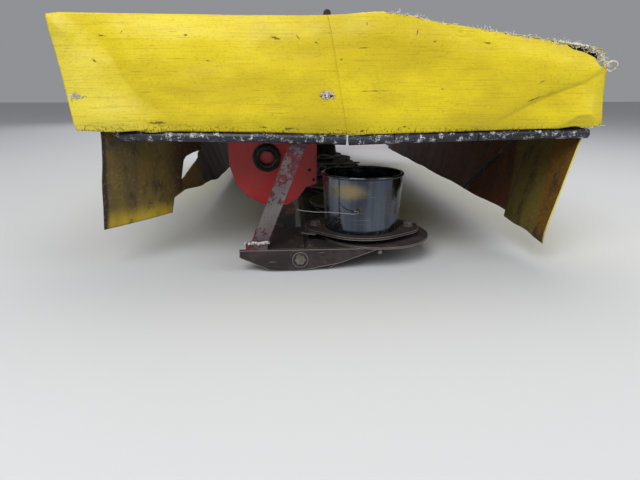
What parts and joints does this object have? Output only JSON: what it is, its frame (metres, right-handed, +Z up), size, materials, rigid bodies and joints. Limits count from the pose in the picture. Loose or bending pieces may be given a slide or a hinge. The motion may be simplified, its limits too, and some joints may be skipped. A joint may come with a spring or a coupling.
{
  "type": "disc mower",
  "caption": "Mounted disc mower with a row of oval knife discs under a folding yellow sheet cover, on a headstock with a break-away pivot and lift cylinder.",
  "frame": {"origin": "middle of the ground under the machine's bounding box, with the mower on its shoes and parking stand", "axes": "+X the way it travels, +Y inwards along the cutter bar from the outer end to the headstock, +Z up"},
  "size_m": [1.875, 3.9518, 1.098],
  "materials": {
    "bar": "dirty, rust-brown",
    "shoe": "worn, rusty, bright at its edge",
    "strut": "weathered, rusty flakes",
    "red_paint": "faded deep red paint",
    "black_paint": "black paint, dusty",
    "tube_paint": "dark paint, worn and flaking",
    "sheet": "yellow coated cloth, scratched and soiled",
    "curtain": "yellow coated cloth, dirty brown inside",
    "disc": "rusty brown with a bright edge",
    "drum": "polished by the crop",
    "steel": "bare steel",
    "chrome": "polished rod"
  },
  "bodies": {
    "headstock": {"headstock_frame": "red_paint", "headstock_mast": "red_paint", "lower_pin_outer": "steel", "lower_pin_inner": "steel"},
    "swing": {"swing_frame": "red_paint", "belt_guard": "black_paint"},
    "drive": {"drive_shaft": "steel"},
    "barrel": {"lift_barrel": "red_paint"},
    "rod": {"lift_rod": "chrome"},
    "mower": {"cutter_bar": "bar", "outer_shoe": "shoe", "shoe_plug": "shoe", "skid_2": "shoe", "skid_3": "shoe", "skid_4": "shoe", "skid_5": "shoe", "skid_6": "shoe", "inner_shoe": "shoe", "heel_strut": "strut", "carrier_tube": "black_paint", "carrier_end_plate": "red_paint", "carrier_bracket": "black_paint", "inner_gearbox": "bar", "fold_bracket": "red_paint", "cover_frame": "black_paint", "rear_end_tube": "tube_paint", "rear_top_sheet": "sheet", "rear_end_sheet": "sheet", "rear_curtain": "curtain", "rear_corner_flap": "curtain"},
    "guard": {"guard_frame": "black_paint", "front_end_tube": "tube_paint", "front_top_sheet": "sheet", "front_end_sheet": "sheet", "front_curtain": "curtain", "curtain_stay": "black_paint"},
    "stand": {"parking_stand": "black_paint"},
    "disc1": {"disc_1": "disc", "outer_drum": "drum"},
    "disc2": {"disc_2": "disc"},
    "disc3": {"disc_3": "disc"},
    "disc4": {"disc_4": "disc"},
    "disc5": {"disc_5": "disc"},
    "disc6": {"disc_6": "disc", "inner_drum": "disc"}
  },
  "joints": [
    {"name": "swing", "type": "hinge", "parent": "headstock", "child": "swing", "pos_m": [0.6925, 1.43825, 0.42], "axis": [0, 0, -1], "range_deg": [0, 25]},
    {"name": "fold", "type": "hinge", "parent": "swing", "child": "mower", "pos_m": [-0.2175, 0.65825, 0.42], "axis": [-1, 0, 0], "range_deg": [-10, 85]},
    {"name": "guard_open", "type": "hinge", "parent": "mower", "child": "guard", "pos_m": [-0.2325, -0.76175, 0.715], "axis": [0, -1, 0], "range_deg": [0, 95]},
    {"name": "lift_barrel_turn", "type": "hinge", "parent": "swing", "child": "barrel", "pos_m": [-0.2175, 1.23825, 0.58], "axis": [1, 0, 0], "range_deg": [-2, 7]},
    {"name": "lift_rod_slide", "type": "slide", "parent": "barrel", "child": "rod", "axis": [0, -1, 0], "range_m": [-0.25, 0.03]},
    {"name": "drive_turn", "type": "hinge", "parent": "swing", "child": "drive", "pos_m": [-0.0075, 1.13825, 0.44], "axis": [1, 0, 0], "continuous": true},
    {"name": "stand_slide", "type": "slide", "parent": "headstock", "child": "stand", "axis": [0, 0, 1], "range_m": [0, 0.3]},
    {"name": "disc_turn_1", "type": "hinge", "parent": "mower", "child": "disc1", "pos_m": [-0.1075, -1.81175, 0.1], "axis": [0, 0, 1], "continuous": true},
    {"name": "disc_turn_2", "type": "hinge", "parent": "mower", "child": "disc2", "pos_m": [-0.1075, -1.41175, 0.1], "axis": [0, 0, 1], "continuous": true},
    {"name": "disc_turn_3", "type": "hinge", "parent": "mower", "child": "disc3", "pos_m": [-0.1075, -1.01175, 0.1], "axis": [0, 0, 1], "continuous": true},
    {"name": "disc_turn_4", "type": "hinge", "parent": "mower", "child": "disc4", "pos_m": [-0.1075, -0.61175, 0.1], "axis": [0, 0, 1], "continuous": true},
    {"name": "disc_turn_5", "type": "hinge", "parent": "mower", "child": "disc5", "pos_m": [-0.1075, -0.21175, 0.1], "axis": [0, 0, 1], "continuous": true},
    {"name": "disc_turn_6", "type": "hinge", "parent": "mower", "child": "disc6", "pos_m": [-0.1075, 0.18825, 0.1], "axis": [0, 0, 1], "continuous": true}
  ],
  "couplings": [
    {"joint": "lift_barrel_turn", "follows": "fold", "ratio": 0.07262},
    {"joint": "lift_rod_slide", "follows": "fold", "m_per_rad": -0.16728},
    {"joint": "drive_turn", "follows": "disc_turn_1", "ratio": 0.18},
    {"joint": "disc_turn_2", "follows": "disc_turn_1", "ratio": -1},
    {"joint": "disc_turn_3", "follows": "disc_turn_1", "ratio": 1},
    {"joint": "disc_turn_4", "follows": "disc_turn_1", "ratio": -1},
    {"joint": "disc_turn_5", "follows": "disc_turn_1", "ratio": 1},
    {"joint": "disc_turn_6", "follows": "disc_turn_1", "ratio": -1}
  ]
}
